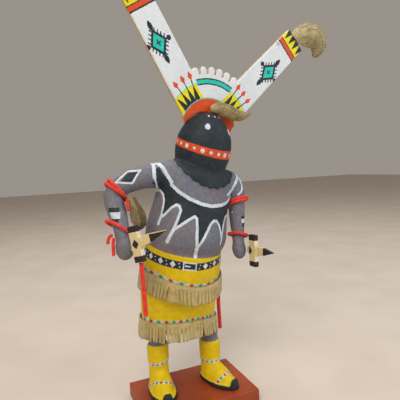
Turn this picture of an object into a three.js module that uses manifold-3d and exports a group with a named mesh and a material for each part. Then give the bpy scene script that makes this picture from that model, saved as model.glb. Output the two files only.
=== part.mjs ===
// Kachina doll: a carved and painted crown dancer with a board crown, standing on a wood block.
// Millimetres, +Z up. The origin is the middle of the block's underside, and the block's front faces -Y.
// The doll is built in its own upright frame and then turned a little to its left on the block.
import * as THREE from 'three';
import { mergeVertices } from 'three/addons/utils/BufferGeometryUtils.js';
import Module from 'manifold-3d';

const wasm = await Module();
wasm.setup();

// ---- Driving dimensions ----
const GAP = 0.3; // clearance between pieces that touch
const BLOCK = { width: 110, depth: 71.6, height: 12.7, ease: 0.8 };
const STAND = { x: 0, y: 18, facing: 5.6 }; // where the doll's own frame stands on the block, and its turn

// The doll's bent spine: its place every 38 mm of height, from the kilt's hem to the crown of the head.
const SPINE = {
  from: 55,
  to: 283,
  across: [-5, -4.2, -1, 5, 14, 23, 28.5],
  forward: [0, -1.5, -3.7, -7, -11.5, -16, -20],
};

// Body sections, from below: height on the spine, half width, depth in front of and behind the spine.
const TORSO = [
  [138, 34, 33, 29],
  [149, 36.8, 36, 31.5],
  [158, 40, 41, 33],
  [169, 40.4, 42, 33],
  [184, 38.4, 37.5, 31],
  [197, 37.6, 32.5, 29.5],
  [210, 39.5, 29.5, 28],
  [220, 39.5, 26.5, 26],
  [226, 35, 22, 23],
  [230, 22, 14, 15],
];
const KILT = [
  [72, 38.2, 25.5, 29],
  [85, 38.7, 27.5, 30.5],
  [98, 39.2, 30.5, 32],
  [111, 39.8, 33.5, 33],
  [123, 40, 36.5, 33.5],
  [136, 39.2, 38, 33.5],
  [148.5, 38, 37.8, 33],
];
const WAIST_DIP = 4.5; // how far the kilt's top edge and bead rows sag from the hips to the belly
const FRINGE = { thickness: 1.6, upperTop: 122.5, lowerTop: 82.5, drop: 15.5, strands: 30, flare: 1.2, notch: 6 };
const UPPER_PARTING = 1.1; // where the upper fringe parts, as an angle from the doll's right
const HIP_RISE = 4; // how far the upper fringe rises at the doll's right hip
const HEM_RISE = 4; // how far the lower fringe rises in front

// The hood: radius by height, and its bib's lower edge over the chest and shoulders.
const HOOD = [[24, 222], [25, 229], [25.6, 233], [26.8, 238], [27.4, 244], [27.2, 250], [26.2, 256.5],
  [23.8, 263], [20, 269.5], [15, 274.8], [8.5, 279], [0, 281]];
const BIB = { thickness: 1.3, side: 231, front: 212.5, back: 221, lobes: 22, lobeDepth: 1.1 };

// Arms: centre line and radius from the shoulder to the wrist, in the doll's frame.
const RIGHT_ARM = [
  [[-16, -12, 221.5], 13],
  [[-31, -12, 222.5], 11.8],
  [[-45, -10, 220], 10.4],
  [[-59, -8, 214.6], 9.3],
  [[-67.4, -9, 206], 9.1],
  [[-66.8, -15, 194], 8.7],
  [[-66.2, -21, 183.5], 7.4],
  [[-66.4, -26, 174], 6.8],
  [[-66.6, -30, 167], 6.6],
];
const RIGHT_FIST = { centre: [-66.5, -32, 163], size: [8.6, 8.4, 11.4], lean: 8 };
const LEFT_ARM = [
  [[40, -15, 216], 10.5],
  [[51, -17, 213], 10.4],
  [[56.5, -20, 203], 9],
  [[56, -22, 190], 8.4],
  [[54.5, -24, 176], 7.9],
  [[52.8, -27, 163], 6.7],
  [[50.6, -31, 152], 6],
];
const LEFT_FIST = { centre: [49.5, -33, 146], size: [6.6, 8, 10.4], lean: -10 };

// Legs and boots: the ankle's place, the boot's height and the foot's turn outwards.
const LEGS = [
  { x: -29.4, y: -0.6, cuff: 57.3, turn: -11, upperBulge: 39.5 },
  { x: 22.8, y: -12.3, cuff: 53, turn: 11, upperBulge: 33 },
];
const BOOT = { leg: 8.6, shank: 9.6, ankle: 10.2, cuff: 10.9, length: 48.5, width: 24.5,
  sole: 4, soleLip: 0.9, legRise: 28, legSunk: 4 };
const TOE_TAB = { width: 8.6, thickness: 3, height: 10.5 };

// The crown board: measures from its own centre, above the forehead, in the board's plane.
const CROWN = {
  centre: [30.6, -16, 264.7],
  lean: 8.3, // towards the doll's left
  nod: 5.2, // forwards
  thickness: 5,
  slatAngle: 39.5,
  slatOffset: 2,
  slatInnerHalf: 14.8,
  slatTipHalf: 13.4,
  slatTip: 142,
  bottom: [25.5, 0.5],
  fanRoot: 51.5,
  pegs: 6,
  pegSpacing: 9.2,
  pegTip: 59.6,
  pegHalf: 3.4,
};

// Wands: a flat bar with a pointed stick let in behind it.
const WAND = { bar: [9.5, 4.5, 31], stickWidth: 8, stickThickness: 3.4, stickSet: 0.6, stub: 10, taperFrom: 13 };
const RIGHT_WAND = { centre: [-60, -43.6, 167], turn: -57, roll: -12, stickRise: 12, point: 32.5 };
const LEFT_WAND = { centre: [57.4, -46.6, 145.2], turn: -88, roll: 0, stickRise: 3, point: 28 };

// Fur tufts: centre line and radius. Those on the slats are in the board's plane, from the slat's tip:
// across, up and forward.
const SLAT_TUFT = [
  [[-1.5, -1, 2.5], 5.5],
  [[8, 8, 2.5], 10.5],
  [[21, 10.5, 3], 12.5],
  [[32, 5, 3], 10],
  [[33.5, -3.5, 3], 6.5],
  [[30, -9.5, 3], 2.5],
];
const HEAD_TUFT = [
  [[30, -21, 283.5], 3.5],
  [[37, -24, 284], 6],
  [[47, -26, 281], 6.6],
  [[57, -27, 277.5], 5.6],
  [[67, -27, 277.5], 3.2],
  [[74, -26, 280], 1.2],
];
const ELBOW_TUFT = [
  [[-53, -19, 205.5], 2.2],
  [[-51.6, -20, 197], 4.6],
  [[-49.4, -21, 188], 6.6],
  [[-49.2, -23, 181], 6],
  [[-51.5, -25, 176.5], 2.4],
];

// Yarn: a tie is one or two rings round a limb, at shares of its length. Each side of a ring lies further
// along the limb the more it faces `fall`, in mm, and a loose ring stands off by a share of its radius.
const YARN = { tie: 1.6, tail: 1.5, hanging: 2.1, ease: 0.3 };
const TIES = {
  tie_elbow_right: { limb: RIGHT_ARM, at: [0.43, 0.458], fall: [2, -1, 0], loose: 0 },
  tie_wrist_right: { limb: RIGHT_ARM, at: [0.82], fall: [11, -6, 0], loose: 0.12 },
  tie_arm_left: { limb: LEFT_ARM, at: [0.45, 0.48], fall: [-2, 1, 0], loose: 0 },
  tie_wrist_left: { limb: LEFT_ARM, at: [0.89], fall: [1, -1, 0], loose: 0.04 },
};
// Free yarn ends: the points each hangs along, from where it leaves the doll.
const TAILS = {
  yarn_elbow_right: [[-59, -22.6, 203.6], [-59.2, -23.6, 200.5], [-59.4, -24.4, 197], [-59.4, -25, 193.6]],
  yarn_wrist_right_short: [[-75.8, -26.5, 174.4], [-78, -27, 173], [-79.6, -27.4, 170.6], [-80, -27.6, 167.4]],
  yarn_wrist_right_long: [[-75.6, -30.5, 172], [-76.4, -31, 168], [-76.8, -31.2, 163], [-76.8, -31.4, 157.5]],
  yarn_wand: [
    [-57.4, -44.8, 150.2], [-57.3, -44.8, 145], [-57.1, -44.9, 139], [-57, -45, 132],
    [-56.9, -45, 125], [-56.6, -45, 118], [-56.5, -45, 111], [-56.3, -45, 104.5],
  ],
  yarn_hip: [
    [38.1, -6.2, 104], [38.9, -6.4, 98], [39.1, -6.5, 92], [38.9, -6.6, 86],
    [38.9, -6.7, 79], [39.1, -6.8, 72], [39.3, -6.8, 65], [39.5, -6.8, 58.5],
  ],
};

// ---- Materials ----
function paint(colour, roughness = 0.7) {
  return new THREE.MeshStandardMaterial({ color: colour, roughness, metalness: 0 });
}
const blockPaint = paint('#a03c14');
const bodyPaint = paint('#6e7079');
const crownPaint = paint('#dcebf2', 0.6);
const wandWood = paint('#d0c090');
const suede = paint('#b5a46e', 0.95);
const fur = paint('#a39a6c', 1);
const darkFur = paint('#7a6240', 1);
const redYarn = paint('#e63a2c', 0.95);

// ---- Solids ----
const toRadians = THREE.MathUtils.degToRad;

function solid(geometry) {
  const bare = new THREE.BufferGeometry();
  bare.setAttribute('position', geometry.getAttribute('position').clone());
  if (geometry.index) bare.setIndex(geometry.index.clone());
  const merged = mergeVertices(bare, 1e-4);
  const corners = merged.index.array;
  const faces = [];
  for (let i = 0; i < corners.length; i += 3) {
    const [a, b, c] = corners.slice(i, i + 3);
    if (a !== b && b !== c && c !== a) faces.push(a, b, c);
  }
  const mesh = new wasm.Mesh({
    numProp: 3,
    vertProperties: new Float32Array(merged.getAttribute('position').array),
    triVerts: new Uint32Array(faces),
  });
  return new wasm.Manifold(mesh);
}

function geometryOf(manifold) {
  const mesh = manifold.getMesh();
  const geometry = new THREE.BufferGeometry();
  geometry.setAttribute('position', new THREE.BufferAttribute(mesh.vertProperties, 3));
  geometry.setIndex(new THREE.BufferAttribute(mesh.triVerts, 1));
  geometry.computeVertexNormals();
  return geometry;
}

function joined(...manifolds) {
  return manifolds.reduce((whole, next) => whole.add(next));
}

function reshaped(geometry, move) {
  const position = geometry.getAttribute('position');
  const point = new THREE.Vector3();
  for (let i = 0; i < position.count; i++) {
    point.fromBufferAttribute(position, i);
    move(point);
    position.setXYZ(i, point.x, point.y, point.z);
  }
  return geometry;
}

// A solid of revolution about Z from [radius, height] pairs.
function turned(profile, sides) {
  const outline = profile.map(([radius, height]) => new THREE.Vector2(radius, height));
  return new THREE.LatheGeometry(outline, sides).rotateX(Math.PI / 2);
}

// A unit drum about Z, one high, in rows, with flat ends.
function drum(rows, sides) {
  const wall = Array.from({ length: rows + 1 }, (_, row) => [1, row / rows]);
  return turned([[0, 0], ...wall, [0, 1]], sides);
}

// ---- The spine, and body sections along it ----
const spineCurve = new THREE.CatmullRomCurve3(
  SPINE.across.map((across, i) => {
    const step = (SPINE.to - SPINE.from) / (SPINE.across.length - 1);
    return new THREE.Vector3(across, SPINE.forward[i], SPINE.from + i * step);
  }),
  false,
  'catmullrom',
);

// Carries a point from the straight body onto the bent spine.
function bendToSpine(point) {
  const along = THREE.MathUtils.clamp((point.z - SPINE.from) / (SPINE.to - SPINE.from), 0, 1);
  const onSpine = spineCurve.getPoint(along);
  const up = spineCurve.getTangent(along);
  const left = new THREE.Vector3(1, 0, -up.x / up.z).normalize();
  const back = new THREE.Vector3().crossVectors(up, left);
  const beyond = point.z - onSpine.z;
  const { x, y } = point;
  point.copy(onSpine).addScaledVector(left, x).addScaledVector(back, y).addScaledVector(up, beyond);
}

function sectionCurves(sections) {
  const heights = new THREE.CatmullRomCurve3(sections.map(([h]) => new THREE.Vector3(h, 0, 0)), false, 'catmullrom');
  const radii = new THREE.CatmullRomCurve3(
    sections.map(([, side, front, back]) => new THREE.Vector3(side, front, back)),
    false,
    'catmullrom',
  );
  return { heights, radii };
}

// `sag` lowers a section by a share of its frontness and height, for an edge that dips over the belly.
function bodyLoft(sections, rows, sides, { grow = 0, sag = () => 0 } = {}) {
  const { heights, radii } = sectionCurves(sections);
  return reshaped(drum(rows, sides), (point) => {
    const t = THREE.MathUtils.clamp(point.z, 0, 1);
    const size = radii.getPoint(t);
    const depth = point.y < 0 ? size.y : size.z;
    const height = heights.getPoint(t).x + grow * point.z + sag(point.y, t);
    point.set(point.x * (size.x + grow), point.y * (depth + grow), height);
    bendToSpine(point);
  });
}

// The kilt's top edge stands higher at the hips than over the belly and at the back.
const waistSag = (backness, t) => t * t * WAIST_DIP * (1 - Math.abs(backness));

// The kilt's half width and depths at a height, for what is wrapped round it.
function kiltSection(height) {
  const i = THREE.MathUtils.clamp(KILT.findIndex(([h]) => h >= height), 1, KILT.length - 1);
  const [h0, ...low] = KILT[i - 1];
  const [h1, ...high] = KILT[i];
  const blend = (height - h0) / (h1 - h0);
  return low.map((value, k) => value + (high[k] - value) * blend);
}

// A limb's centre line and girth; each row is [place, radius].
function limbCurves(rows) {
  return {
    line: new THREE.CatmullRomCurve3(rows.map(([place]) => new THREE.Vector3(...place)), false, 'catmullrom'),
    girth: new THREE.CatmullRomCurve3(rows.map(([, r]) => new THREE.Vector3(r, 0, 0)), false, 'catmullrom'),
  };
}

// The directions along a limb and across it, at a share of its length.
function limbFrame(line, share) {
  const along = line.getTangent(share);
  const side = new THREE.Vector3(0, -1, 0).cross(along).normalize();
  return { along, side, other: new THREE.Vector3().crossVectors(along, side) };
}

function limb(rows, sides, steps, grow = 0) {
  const { line, girth } = limbCurves(rows);
  return reshaped(drum(steps, sides), (point) => {
    const share = THREE.MathUtils.clamp(point.z, 0, 1);
    const radius = girth.getPoint(share).x + grow;
    const { side, other } = limbFrame(line, share);
    const { x, y } = point;
    point.copy(line.getPoint(share)).addScaledVector(side, x * radius).addScaledVector(other, y * radius);
  });
}

function ellipsoid({ centre, size, lean }) {
  return new THREE.SphereGeometry(1, 14, 10)
    .rotateX(Math.PI / 2)
    .scale(...size)
    .rotateX(toRadians(lean))
    .translate(...centre);
}

// ---- Head and bib ----
function bibEdge(angle) {
  const frontness = -Math.sin(angle);
  const end = frontness > 0 ? BIB.front : BIB.back;
  const lobe = Math.abs(Math.sin((BIB.lobes / 2) * angle));
  return BIB.side + (end - BIB.side) * Math.pow(Math.abs(frontness), 1.3) - BIB.lobeDepth * lobe;
}

function hood() {
  const dome = reshaped(turned([[0, 222], ...HOOD], 30), bendToSpine);
  const cutter = reshaped(drum(1, BIB.lobes * 4), (point) => {
    const angle = Math.atan2(point.y, point.x);
    const onAxis = Math.hypot(point.x, point.y) < 0.5;
    const reach = 60 / 30; // the edge is set at the body's own radius, half way out
    const low = onAxis ? BIB.front : BIB.front + (bibEdge(angle) - BIB.front) * reach;
    point.set(point.x * 60, point.y * 60, point.z < 0.5 ? low : 260);
    bendToSpine(point);
  });
  const overShoulders = solid(bodyLoft(TORSO, 13, 28, { grow: BIB.thickness }));
  return joined(solid(dome), overShoulders.intersect(solid(cutter)));
}

// ---- Legs and boots ----
function boot({ x, y, cuff, turn, upperBulge }) {
  const floor = BLOCK.height + GAP;
  const toeWay = BOOT.length - BOOT.ankle - 3; // from the ankle's centre to the toe
  const shank = turned([
    [0, floor + 2],
    [BOOT.ankle, floor + 2],
    [BOOT.ankle, floor + 10],
    [BOOT.shank, upperBulge - 5],
    [BOOT.shank + 0.1, upperBulge - 1.2],
    [BOOT.cuff - 0.3, upperBulge + 0.6],
    [BOOT.cuff, cuff - 1],
    [BOOT.cuff - 0.5, cuff],
    [BOOT.leg, cuff - 1.5],
    [0, cuff - 1.5],
  ], 16);
  // The foot swells from the heel to the ball and rounds off at the toe, under a falling instep.
  const foot = reshaped(new THREE.SphereGeometry(1, 14, 9), (point) => {
    const way = -point.y; // -1 heel, 1 toe
    const half = way > 0 ? BOOT.width / 2 : BOOT.ankle + 0.4;
    const run = way > 0 ? toeWay : BOOT.ankle + 0.6;
    const height = 19 - 7.5 * way;
    point.set(point.x * half, point.y * run - 0.5, floor + 2 + (point.z > 0 ? point.z * height : point.z * 1.5));
  });
  const outline = new THREE.Shape();
  const half = BOOT.width / 2 + BOOT.soleLip;
  const heel = BOOT.ankle + 1.4;
  outline.moveTo(half, -toeWay * 0.4);
  outline.bezierCurveTo(half, -toeWay * 0.85, 5, -toeWay - 1, 0, -toeWay - 2);
  outline.bezierCurveTo(-5, -toeWay - 1, -half, -toeWay * 0.85, -half, -toeWay * 0.4);
  outline.bezierCurveTo(-half, 2, -BOOT.ankle, heel, 0, heel);
  outline.bezierCurveTo(BOOT.ankle, heel, half, 2, half, -toeWay * 0.4);
  const sole = new THREE.ExtrudeGeometry(outline, { depth: BOOT.sole, bevelEnabled: false, curveSegments: 5 })
    .translate(0, 0, floor);
  const tab = new THREE.BoxGeometry(TOE_TAB.width, TOE_TAB.thickness, TOE_TAB.height, 2, 1, 2);
  reshaped(tab, (point) => {
    const across = point.x / TOE_TAB.width;
    if (point.z > 1) point.z -= 3 * across * across * 4 * 0.3; // rounded top corners
    point.y += 0.18 * (point.z + TOE_TAB.height / 2) * 0.6;
  }).translate(0, -toeWay - 0.6, floor + TOE_TAB.height / 2);
  const placed = [shank, foot, sole, tab].map((part) => part.rotateZ(toRadians(turn)).translate(x, y, 0));
  return joined(...placed.map(solid));
}

// The leg between the boot's cuff and the kilt.
function leg({ x, y, cuff }, grow = 0) {
  const radius = BOOT.leg + grow;
  return solid(drum(1, 16).scale(radius, radius, BOOT.legRise).translate(x, y, cuff - BOOT.legSunk));
}

// ---- The carved figure ----
function figure() {
  const torso = solid(bodyLoft(TORSO, 13, 28));
  const kilt = solid(bodyLoft(KILT, 7, 32, { sag: waistSag }));
  const rightArm = joined(solid(limb(RIGHT_ARM, 14, 14)), solid(ellipsoid(RIGHT_FIST)));
  const leftArm = joined(solid(limb(LEFT_ARM, 12, 12)), solid(ellipsoid(LEFT_FIST)));
  const legs = LEGS.map((place) => leg(place));
  return joined(torso, kilt, hood(), rightArm, leftArm, ...LEGS.map(boot), ...legs);
}

// ---- The crown board ----
function crownOutline() {
  const angle = toRadians(CROWN.slatAngle);
  const along = new THREE.Vector2(Math.sin(angle), Math.cos(angle));
  const outward = new THREE.Vector2(Math.cos(angle), -Math.sin(angle));
  // A point on the right-hand slat, `far` along it and `off` from its middle line.
  const onSlat = (far, off) => along.clone().multiplyScalar(far).addScaledVector(outward, off + CROWN.slatOffset);
  const right = [
    new THREE.Vector2(...CROWN.bottom),
    onSlat(27, CROWN.slatInnerHalf),
    onSlat(CROWN.slatTip, CROWN.slatTipHalf),
    onSlat(CROWN.slatTip, -CROWN.slatTipHalf),
    onSlat(55, -CROWN.slatInnerHalf),
  ];
  // Rounded pegs along the fan's rim, from the right.
  const rim = [];
  for (let i = CROWN.pegs - 1; i >= 0; i--) {
    const tilt = toRadians(CROWN.pegSpacing * (i - (CROWN.pegs - 1) / 2));
    const out = new THREE.Vector2(Math.sin(tilt), Math.cos(tilt));
    const across = new THREE.Vector2(Math.cos(tilt), -Math.sin(tilt));
    const knuckle = CROWN.pegTip - CROWN.pegHalf;
    rim.push(out.clone().multiplyScalar(CROWN.fanRoot).addScaledVector(across, CROWN.pegHalf));
    for (let step = 0; step <= 4; step++) {
      const turn = (Math.PI * step) / 4;
      rim.push(
        out.clone()
          .multiplyScalar(knuckle + CROWN.pegHalf * Math.sin(turn))
          .addScaledVector(across, CROWN.pegHalf * Math.cos(turn)),
      );
    }
    rim.push(out.clone().multiplyScalar(CROWN.fanRoot).addScaledVector(across, -CROWN.pegHalf));
  }
  const left = right.map((p) => new THREE.Vector2(-p.x, p.y)).reverse();
  return new THREE.Shape([...right, ...rim, ...left]);
}

function toCrownPlace(geometry) {
  return geometry
    .rotateX(Math.PI / 2)
    .rotateX(toRadians(CROWN.nod))
    .rotateY(toRadians(CROWN.lean))
    .translate(...CROWN.centre);
}

// The board with its softened edges, grown all round by a clearance.
function board(grow = 0) {
  const ease = 0.5;
  return toCrownPlace(new THREE.ExtrudeGeometry(crownOutline(), {
    depth: CROWN.thickness - 2 * ease + 2 * grow,
    bevelEnabled: true,
    bevelThickness: ease,
    bevelSize: ease,
    bevelOffset: grow - ease,
    bevelSegments: 1,
  }).translate(0, 0, ease - grow - CROWN.thickness));
}

// The hood's dome with a clearance all round.
function domeClear() {
  const profile = HOOD.map(([radius, height]) => [radius + (radius > 0 ? GAP : 0), height + GAP]);
  return solid(reshaped(turned([[0, 220], ...profile], 32), bendToSpine));
}

// ---- Wands ----
// A wand, grown all round by a clearance when it is used to cut its seat in the hand.
function wand({ centre, turn, roll, stickRise, point }, grow = 0) {
  const [width, thickness, length] = WAND.bar;
  const bar = new THREE.BoxGeometry(width + 2 * grow, thickness + 2 * grow, length + 2 * grow);
  const half = WAND.stickWidth / 2 + grow;
  const stubCentre = -WAND.stub + WAND.stickWidth / 2;
  const outline = new THREE.Shape();
  outline.moveTo(stubCentre, -half);
  outline.lineTo(WAND.taperFrom, -half);
  outline.lineTo(point + grow, 0);
  outline.lineTo(WAND.taperFrom, half);
  outline.lineTo(stubCentre, half);
  outline.absarc(stubCentre, 0, half, Math.PI / 2, Math.PI * 1.5, false);
  const stick = new THREE.ExtrudeGeometry(outline, {
    depth: WAND.stickThickness + 2 * grow, bevelEnabled: false, curveSegments: 5,
  })
    .rotateX(Math.PI / 2)
    .rotateY(-toRadians(stickRise))
    .translate(0, thickness / 2 + WAND.stickSet + grow, 0);
  const placed = [bar, stick].map((part) => {
    return part.rotateY(toRadians(roll)).rotateZ(toRadians(turn)).translate(...centre);
  });
  return joined(...placed.map(solid));
}

// ---- Suede fringes ----
// A band round the kilt whose hem is cut into points; `edge` gives its top's height at each angle.
function fringe(edge, partings = []) {
  const columns = FRINGE.strands * 2;
  const step = (Math.PI * 2) / columns;
  return solid(reshaped(new THREE.BoxGeometry(1, 1, 1, columns, 1, 1), (point) => {
    const column = Math.round((point.x + 0.5) * columns);
    const seam = 0.01; // the strip's two ends meet at the back
    const angle = Math.PI * 2.5 - seam - (point.x + 0.5) * (Math.PI * 2 - 2 * seam);
    const hem = point.z < 0;
    const parted = partings.some((parting) => Math.abs(angle - Math.PI - parting) < step / 2);
    const cut = hem && column % 2 === 0 ? FRINGE.notch : 0;
    const top = edge(angle);
    const height = hem ? top - FRINGE.drop + (parted ? FRINGE.drop * 0.6 : cut) : top;
    const wall = kiltSection(Math.min(top + FRINGE.notch, KILT[KILT.length - 1][0]));
    const low = kiltSection(Math.max(height, KILT[0][0]));
    const [side, front, back] = wall.map((value, k) => Math.max(value, low[k]));
    const out = GAP + 0.4 + (point.y > 0 ? FRINGE.thickness : 0) + (hem ? FRINGE.flare : 0);
    const depth = Math.sin(angle) < 0 ? front : back;
    point.set(Math.cos(angle) * (side + out), Math.sin(angle) * (depth + out), height);
    bendToSpine(point);
  }));
}

const upperEdge = (angle) => FRINGE.upperTop + 1.4 * Math.abs(Math.cos(angle)) + HIP_RISE * Math.max(-Math.cos(angle), 0);
const lowerEdge = (angle) => FRINGE.lowerTop + HEM_RISE * Math.max(-Math.sin(angle), 0) ** 2;

// ---- Fur and yarn ----
// The crown board's plane, as a place in the doll's frame.
function onCrown(across, up, forward) {
  return new THREE.Vector3(across, -forward, up)
    .applyAxisAngle(new THREE.Vector3(1, 0, 0), toRadians(CROWN.nod))
    .applyAxisAngle(new THREE.Vector3(0, 1, 0), toRadians(CROWN.lean))
    .add(new THREE.Vector3(...CROWN.centre));
}

function slatTuft(side) {
  const angle = toRadians(CROWN.slatAngle);
  const across = Math.sin(angle) * CROWN.slatTip + Math.cos(angle) * CROWN.slatOffset;
  const up = Math.cos(angle) * CROWN.slatTip - Math.sin(angle) * CROWN.slatOffset;
  const rows = SLAT_TUFT.map(([[x, y, z], radius]) => {
    return [onCrown(side * (across + x), up + y, z - CROWN.thickness).toArray(), radius];
  });
  return solid(limb(rows, 9, 8));
}

function yarnRing(rows, share, { fall, loose }) {
  const { line, girth } = limbCurves(rows);
  const length = line.getLength();
  const middle = 2; // the unit torus the ring is reshaped from: its radius, with a section of radius one
  return reshaped(new THREE.TorusGeometry(middle, 1, 5, 14), (point) => {
    const turn = Math.atan2(point.y, point.x);
    const out = Math.hypot(point.x, point.y) - middle;
    const outward = ({ side, other }) => {
      return side.clone().multiplyScalar(Math.cos(turn)).addScaledVector(other, Math.sin(turn));
    };
    const facing = outward(limbFrame(line, share)).dot(new THREE.Vector3(...fall));
    const place = share + facing / length;
    const frame = limbFrame(line, place);
    const radius = (girth.getPoint(place).x + GAP + YARN.ease + YARN.tie) * (1 + loose);
    const along = point.z * YARN.tie;
    point.copy(line.getPoint(place)).addScaledVector(outward(frame), radius + out * YARN.tie);
    point.addScaledVector(frame.along, along);
  });
}

function tie({ limb: rows, at, ...lay }) {
  const besideArm = solid(bodyLoft(TORSO, 10, 24, { grow: 3 }));
  return joined(...at.map((share) => solid(yarnRing(rows, share, lay)))).subtract(besideArm);
}

function tail(points, radius) {
  const path = new THREE.CatmullRomCurve3(points.map((point) => new THREE.Vector3(...point)));
  const section = new THREE.Shape().absarc(0, 0, radius, 0, Math.PI * 2);
  return solid(new THREE.ExtrudeGeometry(section, {
    steps: points.length, curveSegments: 4, extrudePath: path, bevelEnabled: false,
  }));
}

// ---- Assembly ----
const doll = new THREE.Group();
doll.name = 'kachina_doll';
const upright = new THREE.Group();
upright.rotation.z = toRadians(STAND.facing);
upright.position.set(STAND.x, STAND.y, 0);
doll.add(upright);

function addNode(parent, name, manifold, material) {
  const mesh = new THREE.Mesh(geometryOf(manifold), material);
  mesh.name = name;
  parent.add(mesh);
}

function block() {
  const { width, depth, height, ease } = BLOCK;
  const outline = new THREE.Shape();
  outline.moveTo(-width / 2 + ease, -depth / 2 + ease);
  outline.lineTo(width / 2 - ease, -depth / 2 + ease);
  outline.lineTo(width / 2 - ease, depth / 2 - ease);
  outline.lineTo(-width / 2 + ease, depth / 2 - ease);
  return new THREE.ExtrudeGeometry(outline, {
    depth: height - 2 * ease, bevelEnabled: true, bevelThickness: ease, bevelSize: ease, bevelSegments: 1,
  }).translate(0, 0, ease);
}

const carved = figure().subtract(wand(RIGHT_WAND, GAP)).subtract(wand(LEFT_WAND, GAP));
const roomForHead = domeClear();
const roomForBoard = solid(board(GAP));
const roomForArm = solid(limb(RIGHT_ARM, 14, 14, GAP));
const roomForLegs = joined(...LEGS.map((place) => leg(place, GAP)));
addNode(doll, 'base_block', solid(block()), blockPaint);
addNode(upright, 'figure', carved, bodyPaint);
addNode(upright, 'crown_board', solid(board()).subtract(roomForHead).subtract(carved), crownPaint);
addNode(upright, 'wand_right', wand(RIGHT_WAND), wandWood);
addNode(upright, 'wand_left', wand(LEFT_WAND), wandWood);
addNode(upright, 'fringe_upper', fringe(upperEdge, [UPPER_PARTING]), suede);
addNode(upright, 'fringe_lower', fringe(lowerEdge).subtract(roomForLegs), suede);
addNode(upright, 'fur_slat_right', slatTuft(-1).subtract(roomForBoard), fur);
addNode(upright, 'fur_slat_left', slatTuft(1).subtract(roomForBoard), fur);
addNode(upright, 'fur_head', solid(limb(HEAD_TUFT, 8, 8)).subtract(roomForHead).subtract(roomForBoard), fur);
addNode(upright, 'fur_elbow', solid(limb(ELBOW_TUFT, 8, 7)).subtract(roomForArm), darkFur);
for (const [name, made] of Object.entries(TIES)) addNode(upright, name, tie(made), redYarn);
for (const [name, route] of Object.entries(TAILS)) {
  addNode(upright, name, tail(route, route.length > 4 ? YARN.hanging : YARN.tail), redYarn);
}

export default doll;
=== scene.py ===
"""The looks of a carved and painted kachina doll: a crown dancer on a wooden block.

The doll is worked out in millimetres in its own upright frame, and placed on the block in metres.
"""

import math
import random

import bmesh
import bpy
import numpy as np
from mathutils import Matrix, Vector


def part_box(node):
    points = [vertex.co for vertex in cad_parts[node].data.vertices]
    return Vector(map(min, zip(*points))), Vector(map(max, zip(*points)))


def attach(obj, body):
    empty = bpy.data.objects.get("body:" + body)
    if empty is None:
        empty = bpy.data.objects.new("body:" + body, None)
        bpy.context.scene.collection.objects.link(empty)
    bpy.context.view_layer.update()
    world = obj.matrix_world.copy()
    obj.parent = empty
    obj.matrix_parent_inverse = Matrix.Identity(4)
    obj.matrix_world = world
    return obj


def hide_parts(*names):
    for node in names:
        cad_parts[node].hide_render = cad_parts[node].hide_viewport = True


MM = 0.001
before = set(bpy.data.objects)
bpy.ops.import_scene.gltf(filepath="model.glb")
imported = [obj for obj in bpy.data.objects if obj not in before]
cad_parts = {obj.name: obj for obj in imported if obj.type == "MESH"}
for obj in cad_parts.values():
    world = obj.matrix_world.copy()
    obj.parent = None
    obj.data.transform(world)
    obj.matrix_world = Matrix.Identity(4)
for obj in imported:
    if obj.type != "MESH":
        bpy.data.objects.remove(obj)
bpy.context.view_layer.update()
scene = bpy.context.scene
dice = random.Random(7)

# ---- Places, in millimetres, as the solids have them ----
STAND = (0.0, 18.0, 0.0)  # where the doll's own frame stands on the block
FACING = math.radians(5.6)  # and how far it is turned
SPINE_FROM, SPINE_TO = 55.0, 283.0
SPINE_ACROSS = [-5, -4.2, -1, 5, 14, 23, 28.5]
SPINE_FORWARD = [0, -1.5, -3.7, -7, -11.5, -16, -20]
# Kilt: height on the spine, half width, depth in front of and behind it.
KILT = [
    (72, 38.2, 25.5, 29),
    (85, 38.7, 27.5, 30.5),
    (98, 39.2, 30.5, 32),
    (111, 39.8, 33.5, 33),
    (123, 40, 36.5, 33.5),
    (136, 39.2, 38, 33.5),
    (148.5, 38, 37.8, 33),
]
BIB = {"side": 231, "front": 212.5, "back": 221, "lobes": 22, "lobe_depth": 1.1}
# Arms: centre line and radius, from the shoulder to the wrist.
RIGHT_ARM = [
    (-16, -12, 221.5, 13),
    (-31, -12, 222.5, 11.8),
    (-45, -10, 220, 10.4),
    (-59, -8, 214.6, 9.3),
    (-67.4, -9, 206, 9.1),
    (-66.8, -15, 194, 8.7),
    (-66.2, -21, 183.5, 7.4),
    (-66.4, -26, 174, 6.8),
    (-66.6, -30, 167, 6.6),
]
LEFT_ARM = [
    (40, -15, 216, 10.5),
    (51, -17, 213, 10.4),
    (56.5, -20, 203, 9),
    (56, -22, 190, 8.4),
    (54.5, -24, 176, 7.9),
    (52.8, -27, 163, 6.7),
    (50.6, -31, 152, 6),
]
# Legs: the ankle's place, the foot's turn, and the height where the boot's upper swells out.
LEGS = {"right": (-29.4, -0.6, -11, 39.5), "left": (22.8, -12.3, 11, 33)}
SOLE_TOP = 17.0
# The crown board: its centre, and how it leans to the doll's left and nods forward.
CROWN_AT = (30.6, -16, 264.7)
CROWN_LEAN, CROWN_NOD = math.radians(8.3), math.radians(5.2)
BOARD = 5.0
SLAT = math.radians(39.5)
SLAT_TIP, SLAT_OFFSET = 142.0, 2.0
# Wands: centre, turn about Z, roll, the stick's rise, and where the painted lozenge sits along the stick.
WANDS = {
    "right": ((-60, -43.6, 167), -57, -12, 12, 0.0),
    "left": ((57.4, -46.6, 145.2), -88, 0, 3, -3.0),
}
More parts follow.
